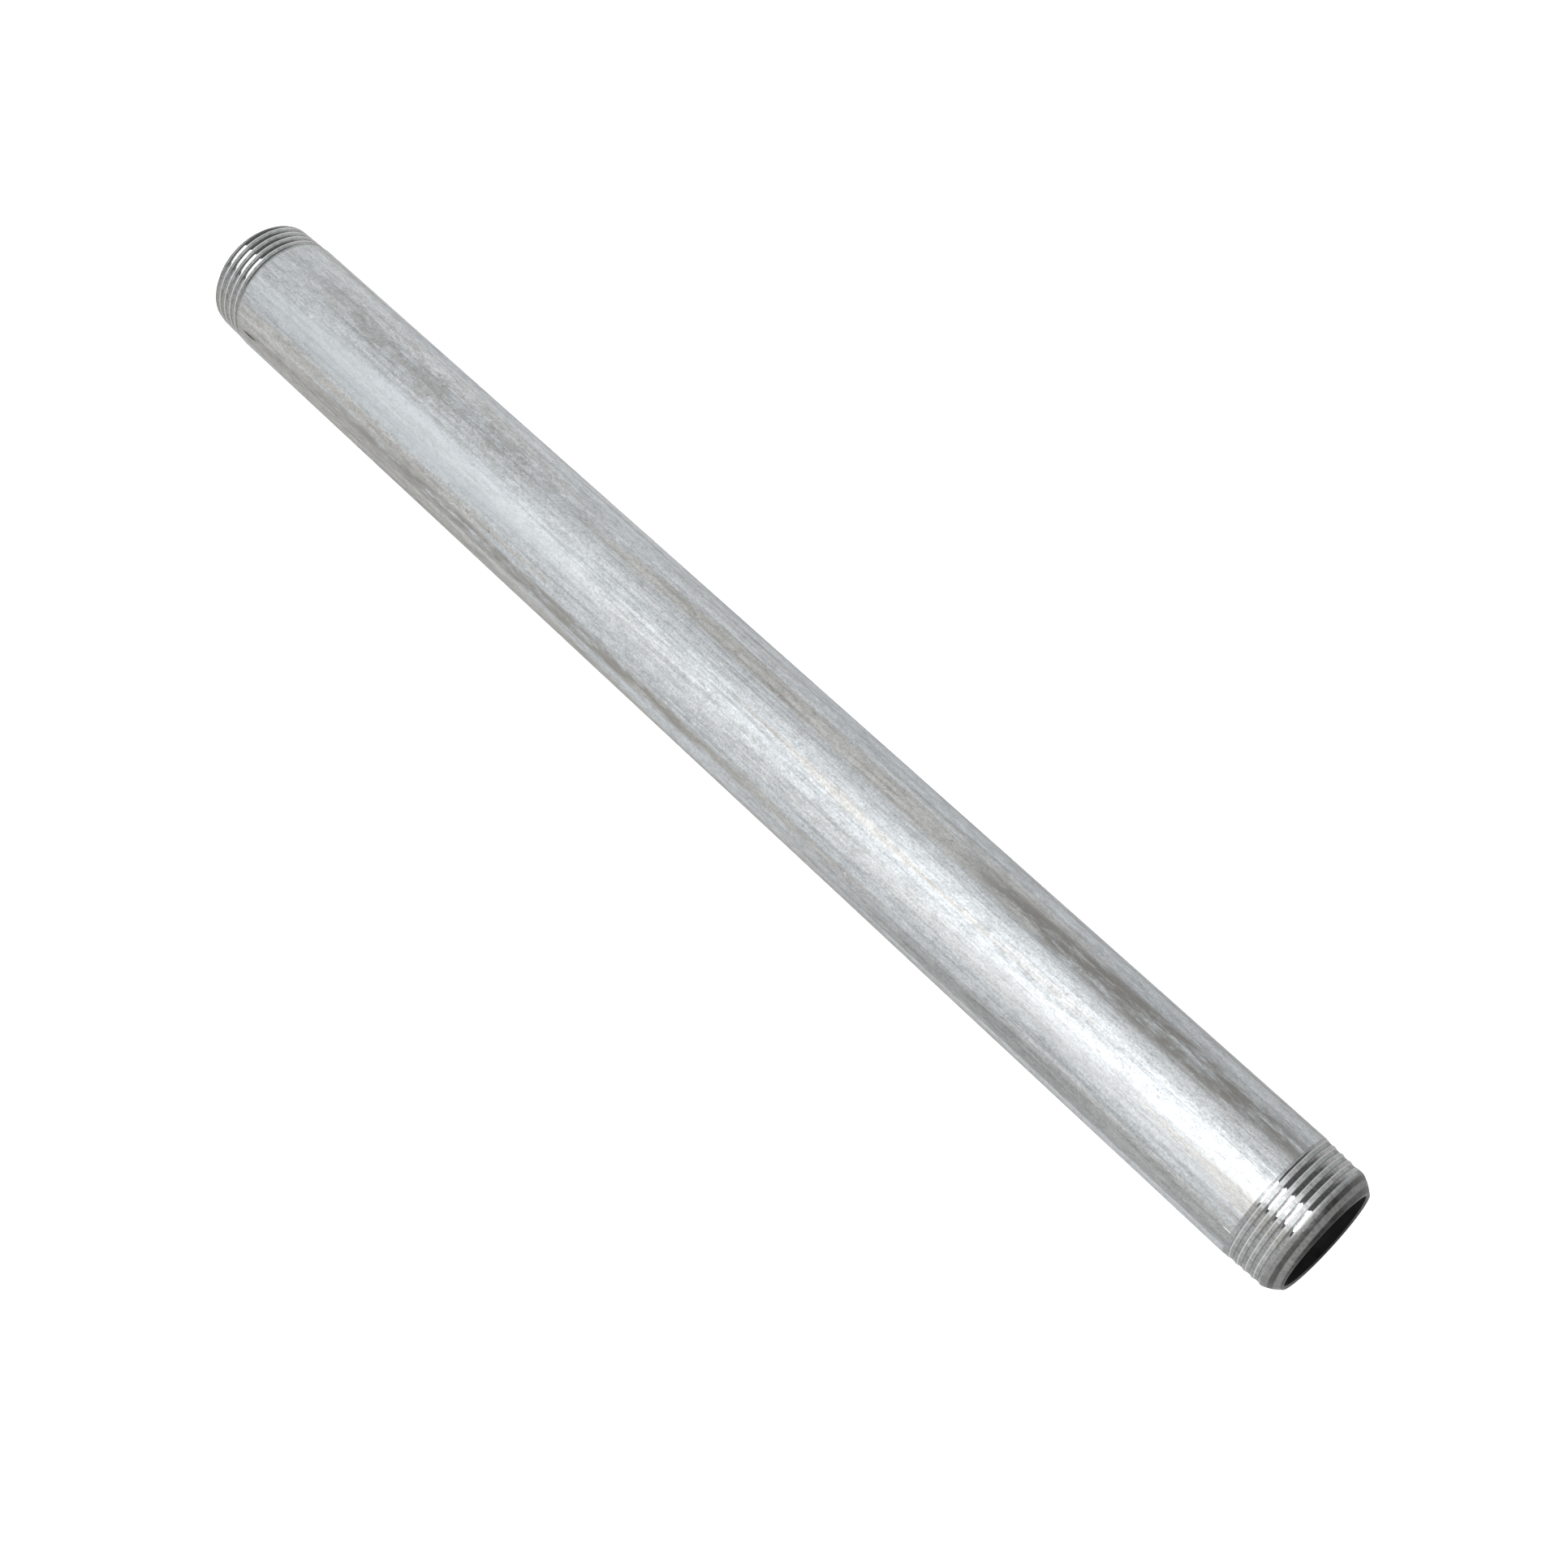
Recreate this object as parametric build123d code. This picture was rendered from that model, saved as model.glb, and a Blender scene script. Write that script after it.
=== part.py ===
from build123d import *
from math import atan, cos, degrees, radians
import os

# A galvanised 3/4 inch schedule 40 pipe nipple, 12 inches long, with a right-hand tapered
# pipe thread at each end. Sizes are in millimetres. The pipe lies along X, and the origin is
# on its axis at mid-length. A "station" is a distance from an end face, measured inwards.

INCH = 25.4

# Pipe
LENGTH = 12 * INCH
PIPE_OD = 26.67
WALL = 2.87
BORE_EDGE_BREAK = 0.3

# Tapered pipe thread, 14 turns to the inch
PITCH = INCH / 14
RADIUS_GAIN = 1 / 32
PITCH_RADIUS_AT_END = 24.579 / 2
CREST_ABOVE_PITCH_LINE = 0.4 * PITCH
THREAD_DEPTH = 0.17
GROOVE_BOTTOM = 0.40 * PITCH
GROOVE_MOUTH = 0.94 * PITCH
RIGHT_BEVEL = 1.95
LEFT_BEVEL = 1.3
RIGHT_BEVEL_ROUNDING = 3.6
LEFT_BEVEL_ROUNDING = 1.2

# Where the groove starts and ends, in turns from the end face; it runs in and out gradually
RIGHT_ENTRY_TURN = 1.85
LEFT_ENTRY_TURN = 0.0
RIGHT_EXIT_TURN = 6.1
LEFT_EXIT_TURN = 5.1
RUN_OUT_TURNS = 0.35
RUN_OUT_CLEARANCE = 0.09

# Direction in which the groove leaves each end face, in degrees about +X from +Y
RIGHT_GROOVE_ANGLE = 319.0
LEFT_GROOVE_ANGLE = 245.0

# Zinc, outside between the threads and all along the bore
ZINC = 0.1
ZINC_EDGE = 0.06
ZINC_GAP_TURNS = 0.25

# Low ridge that the pipe's lengthwise weld leaves inside the bore
RIDGE_HEIGHT = 0.15
RIDGE_ROUNDING = 3.0
RIDGE_ANGLE = 250.0

# Worked out from the above
HALF = LENGTH / 2
PIPE_RADIUS = PIPE_OD / 2
BORE_RADIUS = PIPE_RADIUS - WALL
CREST_RADIUS_AT_END = PITCH_RADIUS_AT_END + CREST_ABOVE_PITCH_LINE
TAPER_LENGTH = (PIPE_RADIUS - CREST_RADIUS_AT_END) / RADIUS_GAIN
BORE_HALF = HALF - BORE_EDGE_BREAK
RIGHT_ZINC_END = HALF - (RIGHT_EXIT_TURN + ZINC_GAP_TURNS) * PITCH
LEFT_ZINC_END = HALF - (LEFT_EXIT_TURN + ZINC_GAP_TURNS) * PITCH


def crest_radius(station):
    """Radius of the turned cone that the thread crests lie on."""
    return CREST_RADIUS_AT_END + RADIUS_GAIN * station


def both_ends(half_outline):
    """An outline of (x, radius) drawn from mid-length to the right end, then mirrored to the left."""
    left = [(-x, radius) for x, radius in reversed(half_outline)]
    return left + half_outline


def rod(radius, half_length):
    """Solid cylinder along X, centred on the origin."""
    return Plane.YZ * Cylinder(radius, 2 * half_length)


def pipe_blank():
    """The pipe before threading: bore, body, turned cones and a rounded bevel round each end."""
    outside = [
        (-HALF, crest_radius(LEFT_BEVEL) - LEFT_BEVEL),
        (LEFT_BEVEL - HALF, crest_radius(LEFT_BEVEL)),
        (TAPER_LENGTH - HALF, PIPE_RADIUS),
        (HALF - TAPER_LENGTH, PIPE_RADIUS),
        (HALF - RIGHT_BEVEL, crest_radius(RIGHT_BEVEL)),
        (HALF, crest_radius(RIGHT_BEVEL) - RIGHT_BEVEL),
    ]
    inside = both_ends([(BORE_HALF, BORE_RADIUS), (HALF, BORE_RADIUS + BORE_EDGE_BREAK)])
    section = make_face(Polyline(*outside, *reversed(inside), close=True))
    for (x, radius), rounding in (
        (outside[1], LEFT_BEVEL_ROUNDING),
        (outside[4], RIGHT_BEVEL_ROUNDING),
    ):
        corner = section.vertices().sort_by_distance(Vector(x, radius, 0))[0]
        section = fillet(corner, rounding)
    return revolve(section, Axis.X)


def groove_cutter(first_turn, last_turn, first_depth, last_depth):
    """A flat-bottomed cutter along one stretch of the thread, about Z with the end face at Z = 0.

    Conical helices run along the corners of the section, and ruled faces join them.
    """
    station = first_turn * PITCH
    length = (last_turn - first_turn) * PITCH
    first_root = crest_radius(station) - first_depth
    last_root = crest_radius(station + length) - last_depth
    cone_angle = degrees(atan((last_root - first_root) / length))
    half_bottom = GROOVE_BOTTOM / 2
    half_mouth = GROOVE_MOUTH / 2
    corners = [
        (-half_bottom, 0),
        (half_bottom, 0),
        (half_mouth, THREAD_DEPTH),
        (half_mouth, 4 * THREAD_DEPTH),
        (-half_mouth, 4 * THREAD_DEPTH),
        (-half_mouth, THREAD_DEPTH),
    ]
    edges = [
        Edge.make_helix(
            pitch=PITCH / cos(radians(cone_angle)),
            height=length,
            radius=first_root + lift,
            center=(0, 0, station + shift),
            angle=cone_angle,
        )
        for shift, lift in corners
    ]
    sides = [
        Face.make_surface_from_curves(edge, following)
        for edge, following in zip(edges, edges[1:] + edges[:1])
    ]
    caps = [
        make_face(Polyline(*[edge @ end for edge in edges], close=True)).face()
        for end in (0, 1)
    ]
    return Solid(Shell(sides + caps)).rotate(Axis.Z, 360 * first_turn)


def end_plane(side, groove_angle):
    """Plane of an end face, its normal pointing into the pipe; side is 1 right and -1 left."""
    groove_direction = Vector(0, 1, 0).rotate(Axis.X, groove_angle)
    return Plane(origin=(side * HALF, 0, 0), x_dir=groove_direction, z_dir=(-side, 0, 0))


def ridge_bar(extra=0.0):
    """Round bar along the weld line whose inner side is the ridge, grown by an extra thickness."""
    distance = BORE_RADIUS - RIDGE_HEIGHT + RIDGE_ROUNDING
    centre = Vector(0, distance, 0).rotate(Axis.X, RIDGE_ANGLE)
    return Pos(centre) * rod(RIDGE_ROUNDING + extra, BORE_HALF)


def weld_ridge():
    """The ridge, rooted half-way into the wall so that it is one metal with the pipe."""
    return ridge_bar() & rod(BORE_RADIUS + WALL / 2, BORE_HALF)


def thread_cutters(entry_turn, exit_turn):
    """The cutters of one end's thread: a run-in, even depth, then a run-out."""
    run_in = entry_turn + RUN_OUT_TURNS
    run_out = exit_turn - RUN_OUT_TURNS
    return [
        groove_cutter(entry_turn, run_in, -RUN_OUT_CLEARANCE, THREAD_DEPTH),
        groove_cutter(run_in, run_out, THREAD_DEPTH, THREAD_DEPTH),
        groove_cutter(run_out, exit_turn, THREAD_DEPTH, -RUN_OUT_CLEARANCE),
    ]


def steel_pipe():
    """The pipe wall with its bevels, threads and weld ridge, all one metal."""
    pipe = pipe_blank() + weld_ridge()
    for cutter in thread_cutters(RIGHT_ENTRY_TURN, RIGHT_EXIT_TURN):
        pipe -= end_plane(1, RIGHT_GROOVE_ANGLE) * cutter
    for cutter in thread_cutters(LEFT_ENTRY_TURN, LEFT_EXIT_TURN):
        pipe -= end_plane(-1, LEFT_GROOVE_ANGLE) * cutter
    return pipe


def outer_zinc_coat():
    """Zinc round the body, ending with a broken edge where the threads begin."""
    section = make_face(
        Polyline(
            (-LEFT_ZINC_END, PIPE_RADIUS),
            (-LEFT_ZINC_END, PIPE_RADIUS + ZINC - ZINC_EDGE),
            (ZINC_EDGE - LEFT_ZINC_END, PIPE_RADIUS + ZINC),
            (RIGHT_ZINC_END - ZINC_EDGE, PIPE_RADIUS + ZINC),
            (RIGHT_ZINC_END, PIPE_RADIUS + ZINC - ZINC_EDGE),
            (RIGHT_ZINC_END, PIPE_RADIUS),
            close=True,
        )
    )
    return revolve(section, Axis.X)


def inner_zinc_coat():
    """Zinc lining of the bore, which rises over the weld ridge."""
    bore = rod(BORE_RADIUS, BORE_HALF)
    lining = bore - rod(BORE_RADIUS - ZINC, BORE_HALF)
    over_ridge = ridge_bar(ZINC) & bore
    return lining + over_ridge - ridge_bar()


NODES = {
    "steel_pipe": steel_pipe,
    "outer_zinc_coat": outer_zinc_coat,
    "inner_zinc_coat": inner_zinc_coat,
}

os.makedirs("parts", exist_ok=True)
for node, make in NODES.items():
    export_step(make(), f"parts/{node}.step")
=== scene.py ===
import math

import bpy
import numpy as np
from mathutils import Matrix, Vector

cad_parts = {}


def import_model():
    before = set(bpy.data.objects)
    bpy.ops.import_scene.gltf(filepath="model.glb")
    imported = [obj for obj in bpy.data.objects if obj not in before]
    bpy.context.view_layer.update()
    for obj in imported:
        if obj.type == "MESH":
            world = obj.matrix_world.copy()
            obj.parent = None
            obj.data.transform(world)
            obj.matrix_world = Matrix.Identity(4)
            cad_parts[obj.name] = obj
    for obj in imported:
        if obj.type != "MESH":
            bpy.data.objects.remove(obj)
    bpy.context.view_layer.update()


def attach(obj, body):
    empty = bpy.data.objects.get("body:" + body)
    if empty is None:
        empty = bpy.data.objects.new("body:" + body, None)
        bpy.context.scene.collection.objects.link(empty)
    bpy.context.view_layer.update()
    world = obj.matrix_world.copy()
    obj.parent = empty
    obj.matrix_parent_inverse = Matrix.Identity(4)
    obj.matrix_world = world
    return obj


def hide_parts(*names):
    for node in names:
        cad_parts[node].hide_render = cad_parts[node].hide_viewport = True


# A galvanised pipe nipple. The pipe lies along X with the origin on its axis at mid-length.
# Lengths in the tables below are in millimetres, as in the CAD; meshes are made in metres.
# A "station" is a distance from an end face, measured inwards along the pipe. A "side" is 1 for
# the +X end and -1 for the -X end. A "turn" round the pipe is in degrees about +X from +Y.

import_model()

MM = 0.001
INCH = 25.4

# Pipe and thread, the same numbers as the CAD
HALF = 6 * INCH
PIPE_RADIUS = 26.67 / 2
BORE_RADIUS = PIPE_RADIUS - 2.87
BORE_EDGE_BREAK = 0.3
BORE_HALF = HALF - BORE_EDGE_BREAK
PITCH = INCH / 14
RADIUS_GAIN = 1 / 32
CREST_RADIUS_AT_END = 24.579 / 2 + 0.4 * PITCH
THREAD_DEPTH = 0.17

# Each end's groove: where it starts and ends, in turns of the thread from the end face, and the
# direction in which it leaves that face. It runs in and out gradually, from clear of the metal.
ENTRY_TURN = {1: 1.85, -1: 0.0}
EXIT_TURN = {1: 6.1, -1: 5.1}
GROOVE_ANGLE = {1: 319.0, -1: 245.0}
RUN_OUT_TURNS = 0.35
RUN_OUT_CLEARANCE = 0.09

# Each end's bevel, as straight facets from the cone to the end face: the station where each
# starts, how far it is there below the crest radius at the end face (minus is above), its slope,
# and how softly it meets what is before it
BEVEL_FACETS = {
    1: [(3.15, -0.1, 0.38, 0.04), (1.6, 0.49, 0.875, 0.6)],
    -1: [(1.3, -0.04, 1.0, 0.45)],
}

# One pitch of the thread, from the middle of a groove: where each slope starts, in pitches
# towards +X, and the height there as a share of the thread's depth
PROFILE_PLACES = [-0.5, -0.31, -0.22, 0.2, 0.47, 0.5]
PROFILE_HEIGHTS = [0.97, 0.55, 0.0, 0.0, 1.0, 0.97]
CREST_SOFTNESS = 0.03

# Finish of the steel: the stations where the bevel's finish ends and the thread's is complete;
# then, across one pitch in the same places as above, the groove's stained flat and the thin lines
# of painted highlight and painted shade; then, in turns of the thread, how the stain fades in past
# it and how far short the lines stop
BEVEL_FINISH = {1: [2.9, 3.3], -1: [0.7, 1.0]}
STAIN_PLACES = [-0.32, -0.28, 0.2, 0.26]
PAINTED_HIGHLIGHT_PLACE = -0.25
PAINTED_SHADE_PLACE = 0.215
LINE_HALF_WIDTH = 0.065
STAIN_FADE_TURNS = 0.05
LINE_END_TURNS = 0.1

# The outside zinc, a little thinner than the CAD's. Its edge is a distance in from the end and
# the height there. The lump on it is a place along X, a turn, a size and a height.
ZINC = 0.068
ZINC_GAP_TURNS = 0.25
ZINC_EDGE = [(0.0, 0.02), (0.05, 0.045), (0.15, 0.06)]
ZINC_EDGE_LENGTH = 0.3
LUMP = (-58.4, 37, 1.2, 0.12)

# The zinc in the bore, how deep the painted shade at its mouths reaches, and the low ridge of the
# pipe's lengthwise weld under it
BORE_ZINC = 0.1
BORE_SHADE_DEPTH = 32.0
RIDGE_TURN = 250.0
RIDGE_HEIGHT = 0.15
RIDGE_HALF_WIDTH = 0.7

# Mesh density
COLUMNS = 288
THREADED_LENGTH = 12.0
THREAD_STEP = 0.06
BODY_STEP = 1.2
SLEEVE_RINGS = 280
BORE_RINGS = 120
SHARP_ANGLE = 35
ANGLES = np.arange(COLUMNS) / COLUMNS * 2 * math.pi

# Finish masks of the steel, stored on its points: how stained it is, how much it belongs to the
# rough bevel, and the thin lines of painted highlight and painted shade that follow the thread
BEVEL_ONLY = {"dull": 0.0, "bevel": 1.0, "painted_highlight_line": 0.0, "painted_shade_line": 0.0}
BODY_ONLY = {"dull": 1.0, "bevel": 0.0, "painted_highlight_line": 0.0, "painted_shade_line": 0.0}

# Noise patterns: frequency per metre along X, Y and Z, detail, roughness and, if any, distortion
NOISES = {
    "bands": ((5, 170, 170), 3.0, 0.55),
    "streaks": ((28, 1000, 1000), 7.0, 0.8),
    "clouds": ((300, 680, 680), 9.0, 0.85),
    "grain": ((1900, 2700, 2700), 4.0, 0.8),
    "specks": ((500, 900, 900), 2.0, 0.6),
    "smudges": ((110, 520, 520), 9.0, 0.85),
    "crinkles": ((260, 420, 420), 3.0, 0.6, 0.6),
    "blotches": ((130, 420, 420), 8.0, 0.8),
    "scratches": ((250, 2600, 2600), 4.0, 0.65),
    "bore_mottling": ((150, 400, 400), 5.0, 0.6),
    "steel_patches": ((400, 500, 500), 4.0, 0.6),
    "steel_grain": ((900, 1800, 1800), 4.0, 0.6),
    "turning": ((5000, 40, 40), 3.0, 0.6),
}

# Colours and levels, from 0 to 1. A list is a ramp over a noise pattern.
ZINC_METALLIC = 0.4
ZINC_TONES = [
    (0.37, (0.57, 0.563, 0.545)),
    (0.46, (0.67, 0.672, 0.665)),
    (0.49, (0.67, 0.71, 0.74)),
    (0.65, (0.76, 0.78, 0.79)),
]
ZINC_ROUGHNESS = [(0.4, 0.46), (0.55, 0.38)]
DARK_SPECK = (0.2, 0.2, 0.19)
DARK_SPECK_SHARE = [(0.68, 0.0), (0.75, 0.55)]
BRIGHT_SPECK = 0.95
BRIGHT_SPECK_SHARE = [(0.24, 0.5), (0.3, 0.0)]
CREASES = [(0.0, 0.45), (0.035, 0.0)]
BLOTCHES = [(0.48, 0.0), (0.53, 0.4)]
SMUDGES = [(0.4, 0.1), (0.53, 1.0)]
# Painted shade: the bore's mouths are near-black for the shade inside the bore; the grey is further
# in
BORE_PAINTED_SHADE = [(0.3, 0.006), (0.7, 0.014)]
BORE_GREY = [(0.35, (0.3, 0.3, 0.29)), (0.65, (0.46, 0.47, 0.47))]
BORE_ROUGHNESS = [(0.3, 0.5), (0.7, 0.65)]
BORE_METALLIC = 0.3
BORE_SPECULAR = 0.06
# How the painted shade at the mouths fades out, over the share of that depth
BORE_PAST_SHADE = [(0.3, 0.0), (1.0, 1.0)]
BRIGHT_STEEL = [(0.3, (0.76, 0.76, 0.75)), (0.7, (0.86, 0.865, 0.87))]
BRIGHT_ROUGHNESS = [(0.3, 0.06), (0.7, 0.1)]
BEVEL_STEEL = [(0.3, (0.21, 0.21, 0.207)), (0.7, (0.31, 0.31, 0.307))]
BEVEL_ROUGHNESS = [(0.3, 0.3), (0.7, 0.42)]
WEAR = [(0.4, 0.6), (0.55, 1.0)]
WEAR_STRENGTH = 0.6
STAIN = (0.66, 0.655, 0.645)
STAIN_ROUGHNESS = 0.42
# Painted highlight and painted shade: the thin light and dark lines along each ridge
PAINTED_HIGHLIGHT_LINE = (0.76, 0.76, 0.75)
PAINTED_SHADE_LINE = (0.1, 0.1, 0.097)

# What darkens the zinc all over: the noise pattern, its ramp and its strength
ZINC_LAYERS = [
    ("streaks", [(0.39, 0.58), (0.54, 1.0)], 0.7),
    ("clouds", [(0.4, 0.6), (0.55, 1.0)], 0.6),
    ("grain", [(0.38, 0.5), (0.56, 1.0)], 0.6),
]

# Heights of the bumps, in metres, and the weights of some patterns in them
ZINC_BUMP = 0.00004
BORE_BUMP = 0.0001
STEEL_BUMP = 0.00002
CLOUDS_WEIGHT = 1.5
TURNING_WEIGHT = 0.03
BEVEL_GRAIN_WEIGHT = 2.0

# Marks on the outside zinc, in the order in which they are laid on. The first three are painted
# light,
# not marks on the zinc: the light band is a painted highlight on the upper front near the +X end,
# and the front and back shades are painted shade on the front side and on the top there. The place
# is the middle along X, the turn, the half length, the half width and the tilt in degrees. The
# strength is a number, or the name of a pattern that breaks the mark up. The blend and the colour
# come last. Each mark fades from its middle, at 0, to its edge, at 1.
MARK_FADE = [(0.45, 1.0), (1.0, 0.0)]
MARKS = {
    # Painted highlight: widens the sheen on the upper front near the +X end
    "painted_highlight_band": ((130.0, 132.0, 90.0, 3.8, 0.0), 0.22, "MIX", 0.9),
    # Painted shade: darkens the front side near the +X end
    "painted_shade_front": ((125.0, 175.0, 120.0, 6.5, 0.0), 1.0, "MULTIPLY", (0.66, 0.645, 0.625)),
    # Painted shade: darkens the top near the +X end
    "painted_shade_top": ((128.0, 91.0, 50.0, 4.0, 0.0), 0.5, "MULTIPLY", 0.68),
    "blue_band": ((-90.0, 124.0, 70.0, 5.0, 0.0), 0.55, "MIX", (0.58, 0.63, 0.66)),
    "warm_streak": ((106.0, 76.5, 62.0, 4.0, -0.7), "patchy", "MIX", (0.24, 0.233, 0.22)),
    "pitted_side": ((-88.0, 78.0, 62.0, 6.5, 0.0), "pitted", "MIX", (0.3, 0.29, 0.27)),
    "lower_smudges": ((-45.0, 162.0, 100.0, 2.4, 0.0), "patchy", "MIX", (0.3, 0.29, 0.27)),
    "dark_scratch": ((-138.4, 172.5, 3.0, 0.45, 0.0), 1.0, "MIX", 0.05),
    "bright_scratch": ((140.0, 160.5, 1.3, 0.16, 0.0), 1.0, "MIX", 0.95),
}

# Stage, in metres. A softbox is its centre, its target, its width and depth, its radiance, and
# whether reflections show it.
FLOOR_HALF_SIZE = 3.0
FLOOR_DROP = 0.1 * MM
FLOOR_GREY = 0.5
FLOOR_ROUGHNESS = 0.9
FLOOR_GLOW = 0.92
SOFTBOXES = {
    "overhead_softbox": ((0.25, -0.31, 0.6), (0.25, -0.31, 0.0), (0.5, 0.52), 6.5, True),
    "overhead_edge": ((-0.2, -0.31, 0.6), (-0.2, -0.31, 0.0), (0.4, 0.52), 2.25, True),
    "back_fill": ((-0.35, 0.45, 0.25), (-0.15, 0.0, 0.0), (0.5, 0.3), 5.0, False),
    "overhead_fill": ((-0.62, -0.31, 0.6), (-0.62, -0.31, 0.0), (0.44, 0.52), 0.5, True),
}
CAMERA_PLACE = (0.2046, -0.1759, 0.4089)
CAMERA_FORWARD = (-0.3826, 0.3556, -0.8527)
CAMERA_LENS = 57.52

# The room that reflections show: its brightness from straight down, at 0, to straight up, at 1,
# towards each side. The shares say where a side takes over, from 0 to 1 across the room: towards
# -Y for the front, and towards +X for both ends. The camera sees the backdrop instead.
BACK_ROOM = [(0.0, 0.5), (0.5, 0.42), (0.62, 0.28), (0.75, 0.1), (1.0, 0.09)]
FRONT_ROOM = [(0.0, 0.4), (0.5, 0.42), (0.78, 0.45), (0.81, 0.08), (1.0, 0.08)]
FRONT_SHARE = [(0.45, 0.0), (0.6, 1.0)]
NEAR_ROOM = [(0.0, 0.3), (0.48, 0.2), (0.55, 0.09), (0.7, 0.1)]
NEAR_SHARE = [(0.88, 0.0), (0.93, 1.0)]
FAR_ROOM = [(0.0, 0.5), (0.42, 0.42), (0.5, 0.14), (1.0, 0.09)]
FAR_SHARE = [(0.1, 1.0), (0.24, 0.0)]
BACKDROP = 1.1


# ---------------------------------------------------------------- shape of the steel


def smooth_min(a, b, width):
    """The lesser of two arrays, rounded off where they cross over about that width."""
    share = np.clip(0.5 + 0.5 * (b - a) / width, 0, 1)
    return b + (a - b) * share - width * share * (1 - share)


def crest_radius(station):
    """Radius of the turned cone that the thread's crests lie on."""
    return CREST_RADIUS_AT_END + RADIUS_GAIN * station


def blank_radius(station, side):
    """Radius of the pipe before threading: bevel, turned cone, then the full pipe."""
    radius = np.minimum(crest_radius(station), PIPE_RADIUS)
    for start, drop, slope, softness in BEVEL_FACETS[side]:
        facet = CREST_RADIUS_AT_END - drop + slope * (station - start)
        radius = smooth_min(radius, facet, softness)
    return radius


def thread_phase(station, side):
    """For each column of a ring, its distance from the middle of the nearest groove, in pitches
    towards +X, and how many turns of the thread that groove is from the end face."""
    turned = side * (GROOVE_ANGLE[side] - np.degrees(ANGLES))
    phase = (turned % 360) / 360
    nearest = np.round(station / PITCH - phase) + phase
    return side * (nearest - station / PITCH), nearest


def threaded_radius(station, side):
    """Outside radius of a ring of the steel, one for each column, with the thread cut in."""
    offset, turn = thread_phase(station, side)
    first, last = ENTRY_TURN[side], EXIT_TURN[side]
    stages = [first, first + RUN_OUT_TURNS, last - RUN_OUT_TURNS, last]
    depths = [-RUN_OUT_CLEARANCE, THREAD_DEPTH, THREAD_DEPTH, -RUN_OUT_CLEARANCE]
    height = THREAD_DEPTH * np.interp(offset, PROFILE_PLACES, PROFILE_HEIGHTS)
    thread = crest_radius(station) - np.interp(turn, stages, depths) + height
    return smooth_min(blank_radius(station, side), thread, CREST_SOFTNESS)


def steel_masks(station, side):
    """The finish masks of a ring, and its lines of painted highlight and shade, from 0 to 1, each
    one number or one for each column.
    """
    offset, turn = thread_phase(station, side)
    exit_turn = EXIT_TURN[side]
    fade = [exit_turn - STAIN_FADE_TURNS, exit_turn + STAIN_FADE_TURNS]
    past_thread = np.interp(turn, fade, [0.0, 1.0])
    flat = np.interp(offset, STAIN_PLACES, [0.0, 1.0, 1.0, 0.0])
    lined = (turn > ENTRY_TURN[side] + LINE_END_TURNS) & (turn < exit_turn - LINE_END_TURNS)

    def line(middle):
        spread = [middle - LINE_HALF_WIDTH, middle, middle + LINE_HALF_WIDTH]
        return np.interp(offset, spread, [0.0, 1.0, 0.0]) * lined

    return {
        "dull": np.maximum(flat, past_thread),
        "bevel": np.interp(station, BEVEL_FINISH[side], [1.0, 0.0]),
        "painted_highlight_line": line(PAINTED_HIGHLIGHT_PLACE),
        "painted_shade_line": line(PAINTED_SHADE_PLACE),
    }


# ---------------------------------------------------------------- meshes


def ring_points(x, radius):
    """Points of one ring about X; radius is a number or one value for each column."""
    radius = np.broadcast_to(radius, ANGLES.shape)
    across, up = radius * np.cos(ANGLES), radius * np.sin(ANGLES)
    return np.stack([np.full_like(ANGLES, x), across, up], axis=1)


def mesh_object(name, rings, material):
    """One closed piece from rings of equal length, joined in order and round to the first."""
    rows, columns = len(rings), len(rings[0])
    points = np.concatenate(rings) * MM
    row = np.arange(rows)[:, None]
    column = np.arange(columns)[None, :]
    here = row * columns + column
    right = row * columns + (column + 1) % columns
    below = ((row + 1) % rows) * columns + column
    below_right = ((row + 1) % rows) * columns + (column + 1) % columns
    quads = np.stack([here, below, below_right, right], axis=2).reshape(-1, 4)
    mesh = bpy.data.meshes.new(name)
    mesh.vertices.add(len(points))
    mesh.vertices.foreach_set("co", points.ravel().astype(np.float32))
    mesh.loops.add(quads.size)
    mesh.loops.foreach_set("vertex_index", quads.ravel().astype(np.int32))
    mesh.polygons.add(len(quads))
    mesh.polygons.foreach_set("loop_start", np.arange(len(quads), dtype=np.int32) * 4)
    mesh.update(calc_edges=True)
    mesh.validate()
    mesh.shade_smooth()
    mesh.materials.append(material)
    piece = bpy.data.objects.new(name, mesh)
    bpy.context.scene.collection.objects.link(piece)
    return piece


# ---------------------------------------------------------------- shader nodes


def rgba(colour):
    """A colour, or a grey level, as the four numbers that a colour socket takes."""
    return (colour, colour, colour, 1.0) if isinstance(colour, (int, float)) else (*colour, 1.0)


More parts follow.
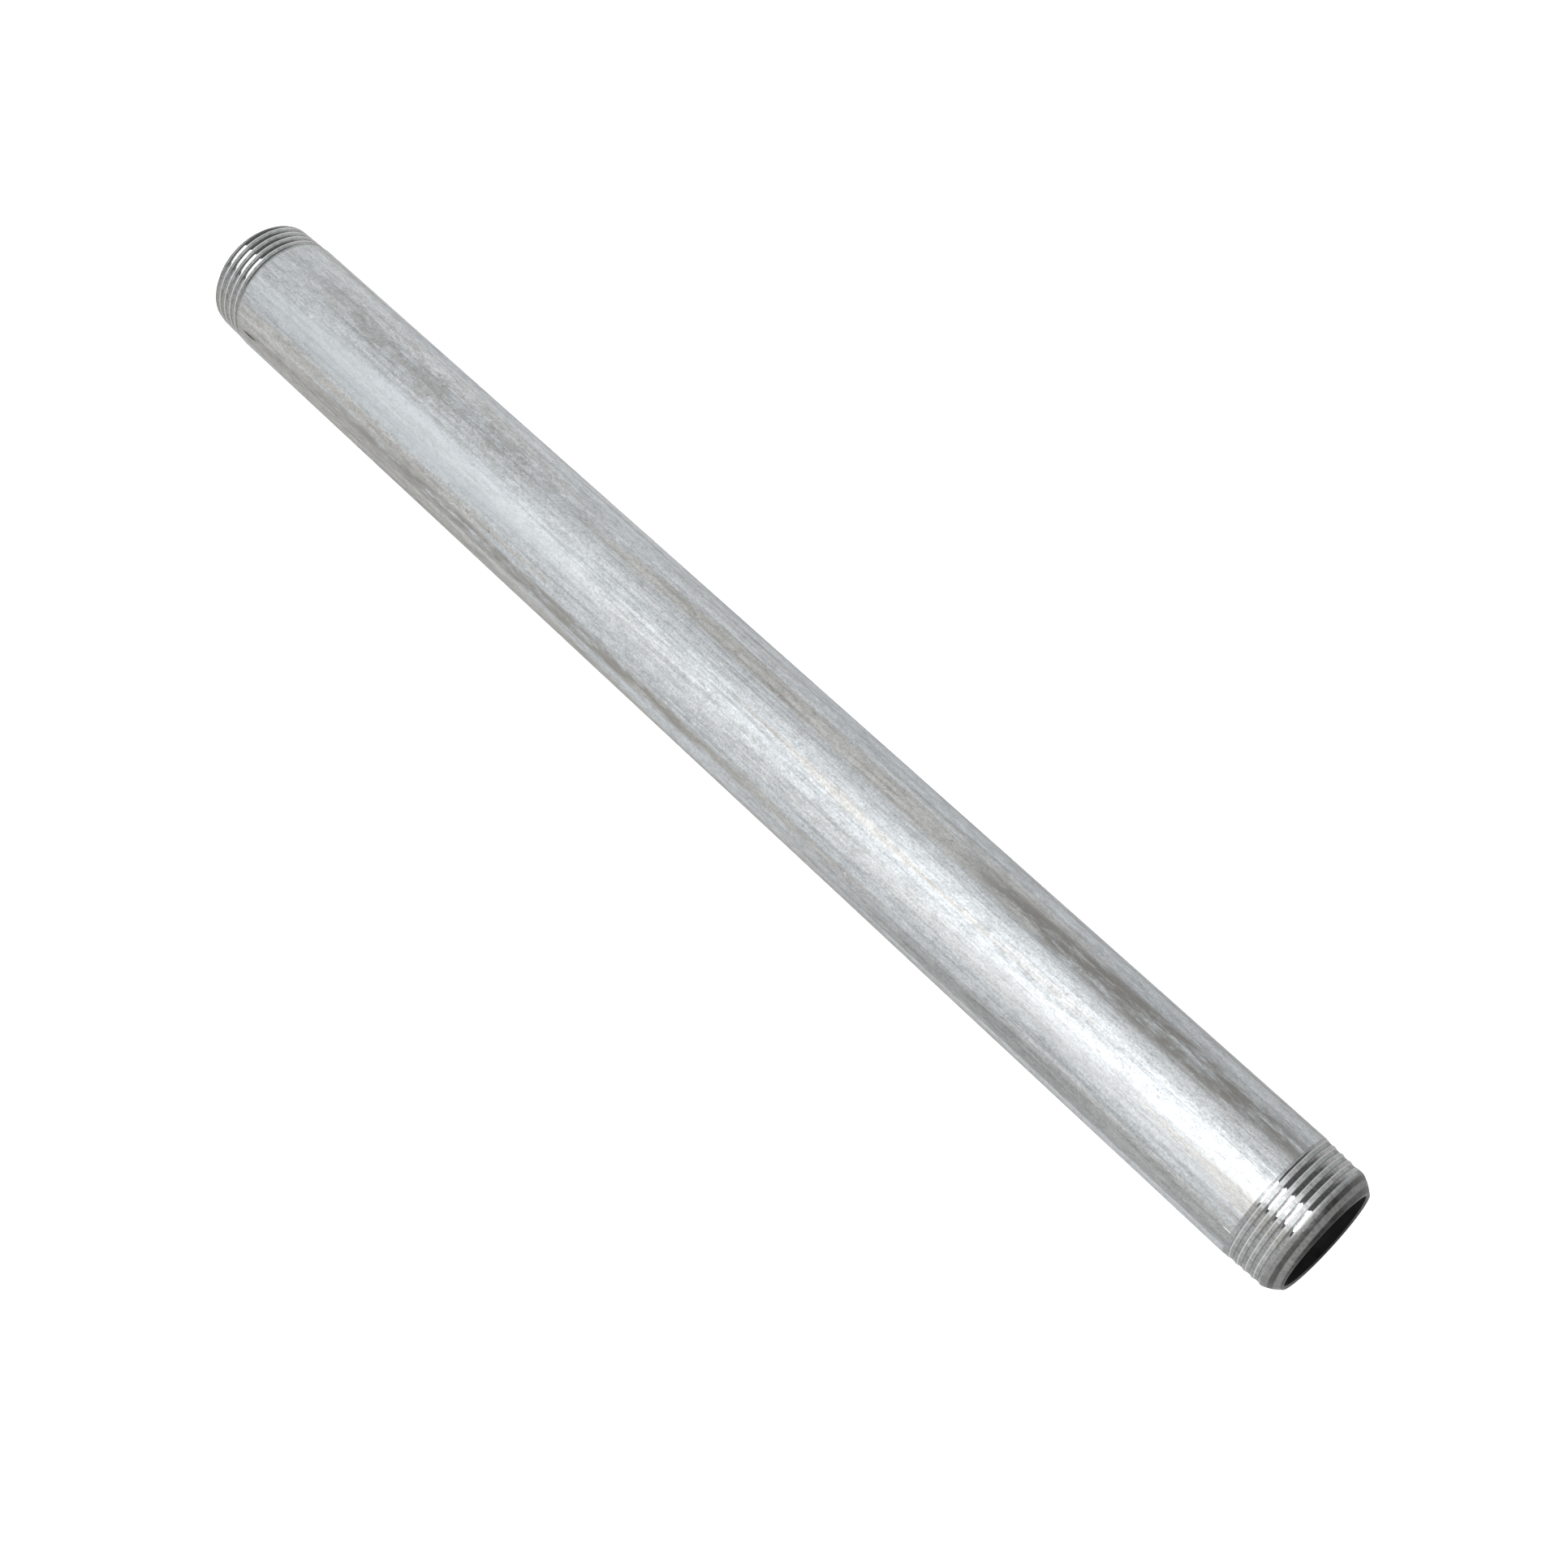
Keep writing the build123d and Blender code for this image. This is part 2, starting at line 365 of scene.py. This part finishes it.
class Nodes:
    """A small helper that adds shader nodes to one node tree and links them."""

    def __init__(self, tree):
        self.tree = tree

    def add(self, kind, inputs=None, **settings):
        """A node of that kind; an input is a socket to link or a value to set."""
        node = self.tree.nodes.new(kind)
        for key, value in settings.items():
            setattr(node, key, value)
        for key, value in (inputs or {}).items():
            if isinstance(value, bpy.types.NodeSocket):
                self.tree.links.new(value, node.inputs[key])
            else:
                node.inputs[key].default_value = value
        return node

    def math(self, operation, a, b=0.0, c=0.0, clamp=False):
        node = self.add("ShaderNodeMath", {0: a, 1: b, 2: c}, operation=operation)
        node.use_clamp = clamp
        return node.outputs[0]

    def attribute(self, name):
        return self.add("ShaderNodeAttribute", attribute_name=name).outputs["Fac"]

    def axes(self, coordinates):
        """The three parts of texture coordinates, such as Object, which is in metres."""
        point = self.add("ShaderNodeTexCoord").outputs[coordinates]
        return self.add("ShaderNodeSeparateXYZ", {0: point}).outputs

    def noise(self, name):
        """One of the noise patterns, over object coordinates."""
        scale, detail, roughness, *distortion = NOISES[name]
        point = self.add("ShaderNodeTexCoord").outputs["Object"]
        mapping = self.add("ShaderNodeMapping", {"Vector": point, "Scale": scale})
        node = self.add(
            "ShaderNodeTexNoise",
            {
                "Vector": mapping.outputs[0],
                "Scale": 1.0,
                "Detail": detail,
                "Roughness": roughness,
                "Distortion": distortion[0] if distortion else 0.0,
            },
        )
        return node.outputs["Fac"]

    def ramp(self, value, stops, interpolation="LINEAR"):
        """Colour ramp; stops are (position, colour or grey level)."""
        node = self.add("ShaderNodeValToRGB", {"Fac": value})
        ramp = node.color_ramp
        ramp.interpolation = interpolation
        while len(ramp.elements) < len(stops):
            ramp.elements.new(0.5)
        for element, (position, colour) in zip(ramp.elements, stops):
            element.position = position
            element.color = rgba(colour)
        return node.outputs["Color"]

    def mix(self, factor, a, b, blend="MIX"):
        """Colour a towards b; each is a socket, a colour or a grey level."""
        values = {0: factor, 6: a, 7: b}
        for index in (6, 7):
            if not isinstance(values[index], bpy.types.NodeSocket):
                values[index] = rgba(values[index])
        return self.add("ShaderNodeMix", values, data_type="RGBA", blend_type=blend).outputs[2]

    def mark(self, x, turn, half_length, half_width, tilt):
        """Mask of one elongated mark on the pipe's outside, 1 in its middle and 0 outside it."""
        along, across, up = self.axes("Object")
        arc = self.math("MULTIPLY", self.math("ARCTAN2", up, across), PIPE_RADIUS * MM)
        unrolled = self.add("ShaderNodeCombineXYZ", {0: along, 1: arc})
        local = self.add(
            "ShaderNodeMapping",
            {
                "Vector": unrolled.outputs[0],
                "Location": (x * MM, math.radians(turn) * PIPE_RADIUS * MM, 0.0),
                "Rotation": (0.0, 0.0, math.radians(tilt)),
                "Scale": (half_length * MM, half_width * MM, 1.0),
            },
            vector_type="TEXTURE",
        )
        reach = self.add("ShaderNodeVectorMath", {0: local.outputs[0]}, operation="LENGTH")
        return self.ramp(reach.outputs["Value"], MARK_FADE, "EASE")


def new_material(name):
    material = bpy.data.materials.new(name)
    material.use_nodes = True
    material.node_tree.nodes.clear()
    return material, Nodes(material.node_tree)


# ---------------------------------------------------------------- materials


def metal_output(nodes, colour, roughness, height, bump_height, metallic, specular=0.5):
    """Finish a metal material; height is the pattern that the bumps follow."""
    bump = nodes.add("ShaderNodeBump", {"Height": height, "Distance": bump_height, "Strength": 1.0})
    shader = nodes.add(
        "ShaderNodeBsdfPrincipled",
        {
            "Base Color": colour,
            "Metallic": metallic,
            "Roughness": roughness,
            "Specular IOR Level": specular,
            "Normal": bump.outputs[0],
        },
    )
    nodes.add("ShaderNodeOutputMaterial", {"Surface": shader.outputs[0]})


def zinc_colour(nodes):
    """Grey-blue zinc with lengthwise streaks, cloudy mottling, fine grain and specks."""
    colour = nodes.ramp(nodes.noise("bands"), ZINC_TONES)
    for pattern, stops, strength in ZINC_LAYERS:
        layer = nodes.ramp(nodes.noise(pattern), stops)
        colour = nodes.mix(strength, colour, layer, "MULTIPLY")
    specks = nodes.noise("specks")
    colour = nodes.mix(nodes.ramp(specks, DARK_SPECK_SHARE), colour, DARK_SPECK)
    return nodes.mix(nodes.ramp(specks, BRIGHT_SPECK_SHARE), colour, BRIGHT_SPECK)


def marked_zinc(nodes):
    """The zinc's colour with the streaks, bands and scratches that the outside has, and bands of
    painted highlight and painted shade.
    """
    crease = nodes.math("ABSOLUTE", nodes.math("SUBTRACT", nodes.noise("crinkles"), 0.5))
    creases = nodes.ramp(crease, CREASES)
    blotches = nodes.ramp(nodes.noise("blotches"), BLOTCHES)
    patterns = {
        "patchy": nodes.ramp(nodes.noise("smudges"), SMUDGES),
        "pitted": nodes.math("ADD", creases, blotches),
    }
    colour = zinc_colour(nodes)
    for outline, strength, blend, tone in MARKS.values():
        share = nodes.math("MULTIPLY", nodes.mark(*outline), patterns.get(strength, strength))
        colour = nodes.mix(share, colour, tone, blend)
    return colour


def outer_zinc_material():
    """Zinc outside the pipe: streaked, marked, with bands of painted highlight and shade, and
    finely grained along its length.
    """
    material, nodes = new_material("galvanised_outside")
    clouds = nodes.noise("clouds")
    rough = nodes.ramp(clouds, ZINC_ROUGHNESS)
    fine = nodes.math("ADD", nodes.noise("grain"), nodes.noise("scratches"))
    height = nodes.math("ADD", fine, nodes.math("MULTIPLY", clouds, CLOUDS_WEIGHT))
    metal_output(nodes, marked_zinc(nodes), rough, height, ZINC_BUMP, ZINC_METALLIC)
    return material


def inner_zinc_material():
    """Bore zinc: painted shade, near-black, inside the mouths, and dull grey further in."""
    material, nodes = new_material("galvanised_bore")
    from_middle = nodes.math("ABSOLUTE", nodes.axes("Object")[0])
    depth = nodes.math("SUBTRACT", HALF * MM, from_middle)
    share = nodes.math("DIVIDE", depth, BORE_SHADE_DEPTH * MM, clamp=True)
    # How far past the painted shade at the mouths: 0 there and 1 deeper in
    past_shade = nodes.ramp(share, BORE_PAST_SHADE)
    mottling = nodes.noise("bore_mottling")
    # Painted shade: near-black at the mouths, grey further in
    colour = nodes.mix(past_shade, nodes.ramp(mottling, BORE_PAINTED_SHADE), nodes.ramp(mottling, BORE_GREY))
    rough = nodes.ramp(mottling, BORE_ROUGHNESS)
    metallic = nodes.math("MULTIPLY", past_shade, BORE_METALLIC)
    metal_output(nodes, colour, rough, mottling, BORE_BUMP, metallic, BORE_SPECULAR)
    return material


def bare_steel_material():
    """Turned steel: bright on the thread's slopes, zinc-stained in its flats, dark on the bevel,
    with painted highlight and painted shade lines along the ridges.
    """
    material, nodes = new_material("cut_thread_steel")
    dull, bevel = nodes.attribute("dull"), nodes.attribute("bevel")
    patches = nodes.noise("steel_patches")
    grain = nodes.noise("steel_grain")
    wear = nodes.ramp(grain, WEAR)
    bright = nodes.mix(WEAR_STRENGTH, nodes.ramp(patches, BRIGHT_STEEL), wear, "MULTIPLY")
    bevelled = nodes.mix(WEAR_STRENGTH, nodes.ramp(patches, BEVEL_STEEL), wear, "MULTIPLY")
    colour = nodes.mix(dull, bright, nodes.mix(1.0, zinc_colour(nodes), STAIN, "MULTIPLY"))
    # Thin lines of painted highlight and painted shade along the ridges
    colour = nodes.mix(nodes.attribute("painted_highlight_line"), colour, PAINTED_HIGHLIGHT_LINE)
    colour = nodes.mix(nodes.attribute("painted_shade_line"), colour, PAINTED_SHADE_LINE)
    colour = nodes.mix(bevel, colour, bevelled)
    rough = nodes.mix(dull, nodes.ramp(patches, BRIGHT_ROUGHNESS), STAIN_ROUGHNESS)
    rough = nodes.mix(bevel, rough, nodes.ramp(patches, BEVEL_ROUGHNESS))
    metallic = nodes.ramp(dull, [(0.0, 1.0), (1.0, ZINC_METALLIC)])
    worn = nodes.math("ADD", dull, nodes.math("MULTIPLY", bevel, BEVEL_GRAIN_WEIGHT))
    relief = nodes.math("MULTIPLY", nodes.math("SUBTRACT", grain, 0.5), worn)
    turning = nodes.math("MULTIPLY", nodes.noise("turning"), TURNING_WEIGHT)
    height = nodes.math("ADD", turning, relief)
    metal_output(nodes, colour, rough, height, STEEL_BUMP, metallic)
    return material


# ---------------------------------------------------------------- pieces


def threaded_pipe(material):
    """The steel pipe: threads cut as real helical grooves, bevels, end faces and bore."""
    thread_stations = np.arange(0, THREADED_LENGTH, THREAD_STEP)
    body_rings = int((HALF - THREADED_LENGTH) / BODY_STEP)
    body_stations = np.linspace(THREADED_LENGTH, HALF, body_rings)

    def outside(side, stations):
        """One half's rings, from its end face inwards: x, radius and finish masks."""
        threaded = [
            (side * (HALF - s), threaded_radius(s, side), steel_masks(s, side))
            for s in thread_stations
        ]
        return threaded + [(side * (HALF - s), PIPE_RADIUS, BODY_ONLY) for s in stations]

    mouth = BORE_RADIUS + BORE_EDGE_BREAK
    bore = [(HALF, mouth), (BORE_HALF, BORE_RADIUS), (-BORE_HALF, BORE_RADIUS), (-HALF, mouth)]
    rings = outside(-1, body_stations) + outside(1, body_stations[:-1])[::-1]
    rings += [(x, radius, BEVEL_ONLY) for x, radius in bore]
    points = [ring_points(x, radius) for x, radius, _ in rings]
    piece = mesh_object("threaded_steel_pipe", points, material)
    for name in BODY_ONLY:
        values = [np.broadcast_to(masks[name], ANGLES.shape) for _, _, masks in rings]
        mask = piece.data.attributes.new(name, "FLOAT", "POINT")
        mask.data.foreach_set("value", np.concatenate(values).astype(np.float32))
    piece.data.set_sharp_from_angle(angle=math.radians(SHARP_ANGLE))
    return piece


def zinc_sleeve(material):
    """The zinc on the outside of the body, a thin tube with soft edges and one small lump."""
    right, left = (HALF - (EXIT_TURN[side] + ZINC_GAP_TURNS) * PITCH for side in (1, -1))
    xs = np.linspace(right - ZINC_EDGE_LENGTH, ZINC_EDGE_LENGTH - left, SLEEVE_RINGS)
    profile = [(right - inwards, height) for inwards, height in ZINC_EDGE]
    profile += [(x, ZINC) for x in xs]
    profile += [(inwards - left, height) for inwards, height in reversed(ZINC_EDGE)]
    profile += [(-left, 0.0), (right, 0.0)]
    lump_x, lump_turn, lump_size, lump_height = LUMP
    across = PIPE_RADIUS * (ANGLES - math.radians(lump_turn))
    rings = []
    for x, height in profile:
        lump = lump_height * np.exp(-((x - lump_x) ** 2 + across**2) / lump_size**2)
        rings.append(ring_points(x, PIPE_RADIUS + height + lump))
    return mesh_object("outside_zinc", rings[::-1], material)


def bore_lining(material):
    """The zinc in the bore, which rises over the weld ridge."""
    away = np.abs((ANGLES - math.radians(RIDGE_TURN) + math.pi) % (2 * math.pi) - math.pi)
    ridge = RIDGE_HEIGHT * np.exp(-((away * BORE_RADIUS / RIDGE_HALF_WIDTH) ** 2))
    xs = np.linspace(-BORE_HALF, BORE_HALF, BORE_RINGS)
    inner = [ring_points(x, BORE_RADIUS - BORE_ZINC - ridge) for x in xs]
    outer = [ring_points(BORE_HALF, BORE_RADIUS), ring_points(-BORE_HALF, BORE_RADIUS)]
    return mesh_object("bore_zinc", (inner + outer)[::-1], material)


# ---------------------------------------------------------------- stage, lights, camera


def floor():
    """A pale floor under the pipe, which reflections don't show."""
    low, high = -FLOOR_HALF_SIZE, FLOOR_HALF_SIZE
    height = -PIPE_RADIUS * MM - FLOOR_DROP
    corners = [(low, low, height), (high, low, height), (high, high, height), (low, high, height)]
    mesh = bpy.data.meshes.new("floor")
    mesh.from_pydata(corners, [], [(0, 1, 2, 3)])
    material, nodes = new_material("pale_floor")
    shader = nodes.add(
        "ShaderNodeBsdfPrincipled",
        {
            "Base Color": rgba(FLOOR_GREY),
            "Roughness": FLOOR_ROUGHNESS,
            "Emission Color": rgba(1.0),
            "Emission Strength": FLOOR_GLOW,
        },
    )
    nodes.add("ShaderNodeOutputMaterial", {"Surface": shader.outputs[0]})
    mesh.materials.append(material)
    plane = bpy.data.objects.new("floor", mesh)
    bpy.context.scene.collection.objects.link(plane)
    plane.visible_glossy = False


def softbox(name, centre, target, size, radiance, in_reflections):
    """Rectangular area light that the camera doesn't see."""
    light = bpy.data.lights.new(name, "AREA")
    light.shape = "RECTANGLE"
    light.size, light.size_y = size
    light.energy = radiance * math.pi * size[0] * size[1]
    lamp = bpy.data.objects.new(name, light)
    direction = Vector(target) - Vector(centre)
    lamp.location = centre
    lamp.rotation_euler = direction.to_track_quat("-Z", "Y").to_euler()
    lamp.visible_camera = False
    lamp.visible_glossy = in_reflections
    bpy.context.scene.collection.objects.link(lamp)


def world():
    """Seen by the camera as white; seen in reflections as a dim room over a white table."""
    studio = bpy.data.worlds.new("studio")
    bpy.context.scene.world = studio
    studio.use_nodes = True
    studio.node_tree.nodes.clear()
    nodes = Nodes(studio.node_tree)
    x, y, z = nodes.axes("Generated")
    height = nodes.math("MULTIPLY_ADD", z, 0.5, 0.5)
    front = nodes.math("MULTIPLY_ADD", y, -0.5, 0.5)
    along = nodes.math("MULTIPLY_ADD", x, 0.5, 0.5)
    room = nodes.ramp(height, BACK_ROOM)
    for across, share, side in (
        (front, FRONT_SHARE, FRONT_ROOM),
        (along, NEAR_SHARE, NEAR_ROOM),
        (along, FAR_SHARE, FAR_ROOM),
    ):
        room = nodes.mix(nodes.ramp(across, share), room, nodes.ramp(height, side))
    seen = nodes.add("ShaderNodeLightPath").outputs["Is Camera Ray"]
    colour = nodes.mix(seen, room, BACKDROP)
    background = nodes.add("ShaderNodeBackground", {"Color": colour, "Strength": 1.0})
    nodes.add("ShaderNodeOutputWorld", {"Surface": background.outputs[0]})


def camera():
    """A camera at the photograph's viewing angle."""
    lens = bpy.data.cameras.new("camera")
    lens.sensor_width = 36.0
    lens.lens = CAMERA_LENS
    lens.clip_start, lens.clip_end = 0.01, 20.0
    eye = bpy.data.objects.new("camera", lens)
    forward = Vector(CAMERA_FORWARD).normalized()
    right = forward.cross(Vector((0, 0, 1))).normalized()
    up = right.cross(forward)
    turn = Matrix((right, up, -forward)).transposed().to_4x4()
    eye.matrix_world = Matrix.Translation(CAMERA_PLACE) @ turn
    bpy.context.scene.collection.objects.link(eye)
    bpy.context.scene.camera = eye


def place(piece, node):
    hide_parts(node)
    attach(piece, "root")


place(threaded_pipe(bare_steel_material()), "steel_pipe")
place(zinc_sleeve(outer_zinc_material()), "outer_zinc_coat")
place(bore_lining(inner_zinc_material()), "inner_zinc_coat")
floor()
for name, settings in SOFTBOXES.items():
    softbox(name, *settings)
world()
camera()
bpy.context.scene.view_settings.view_transform = "Standard"
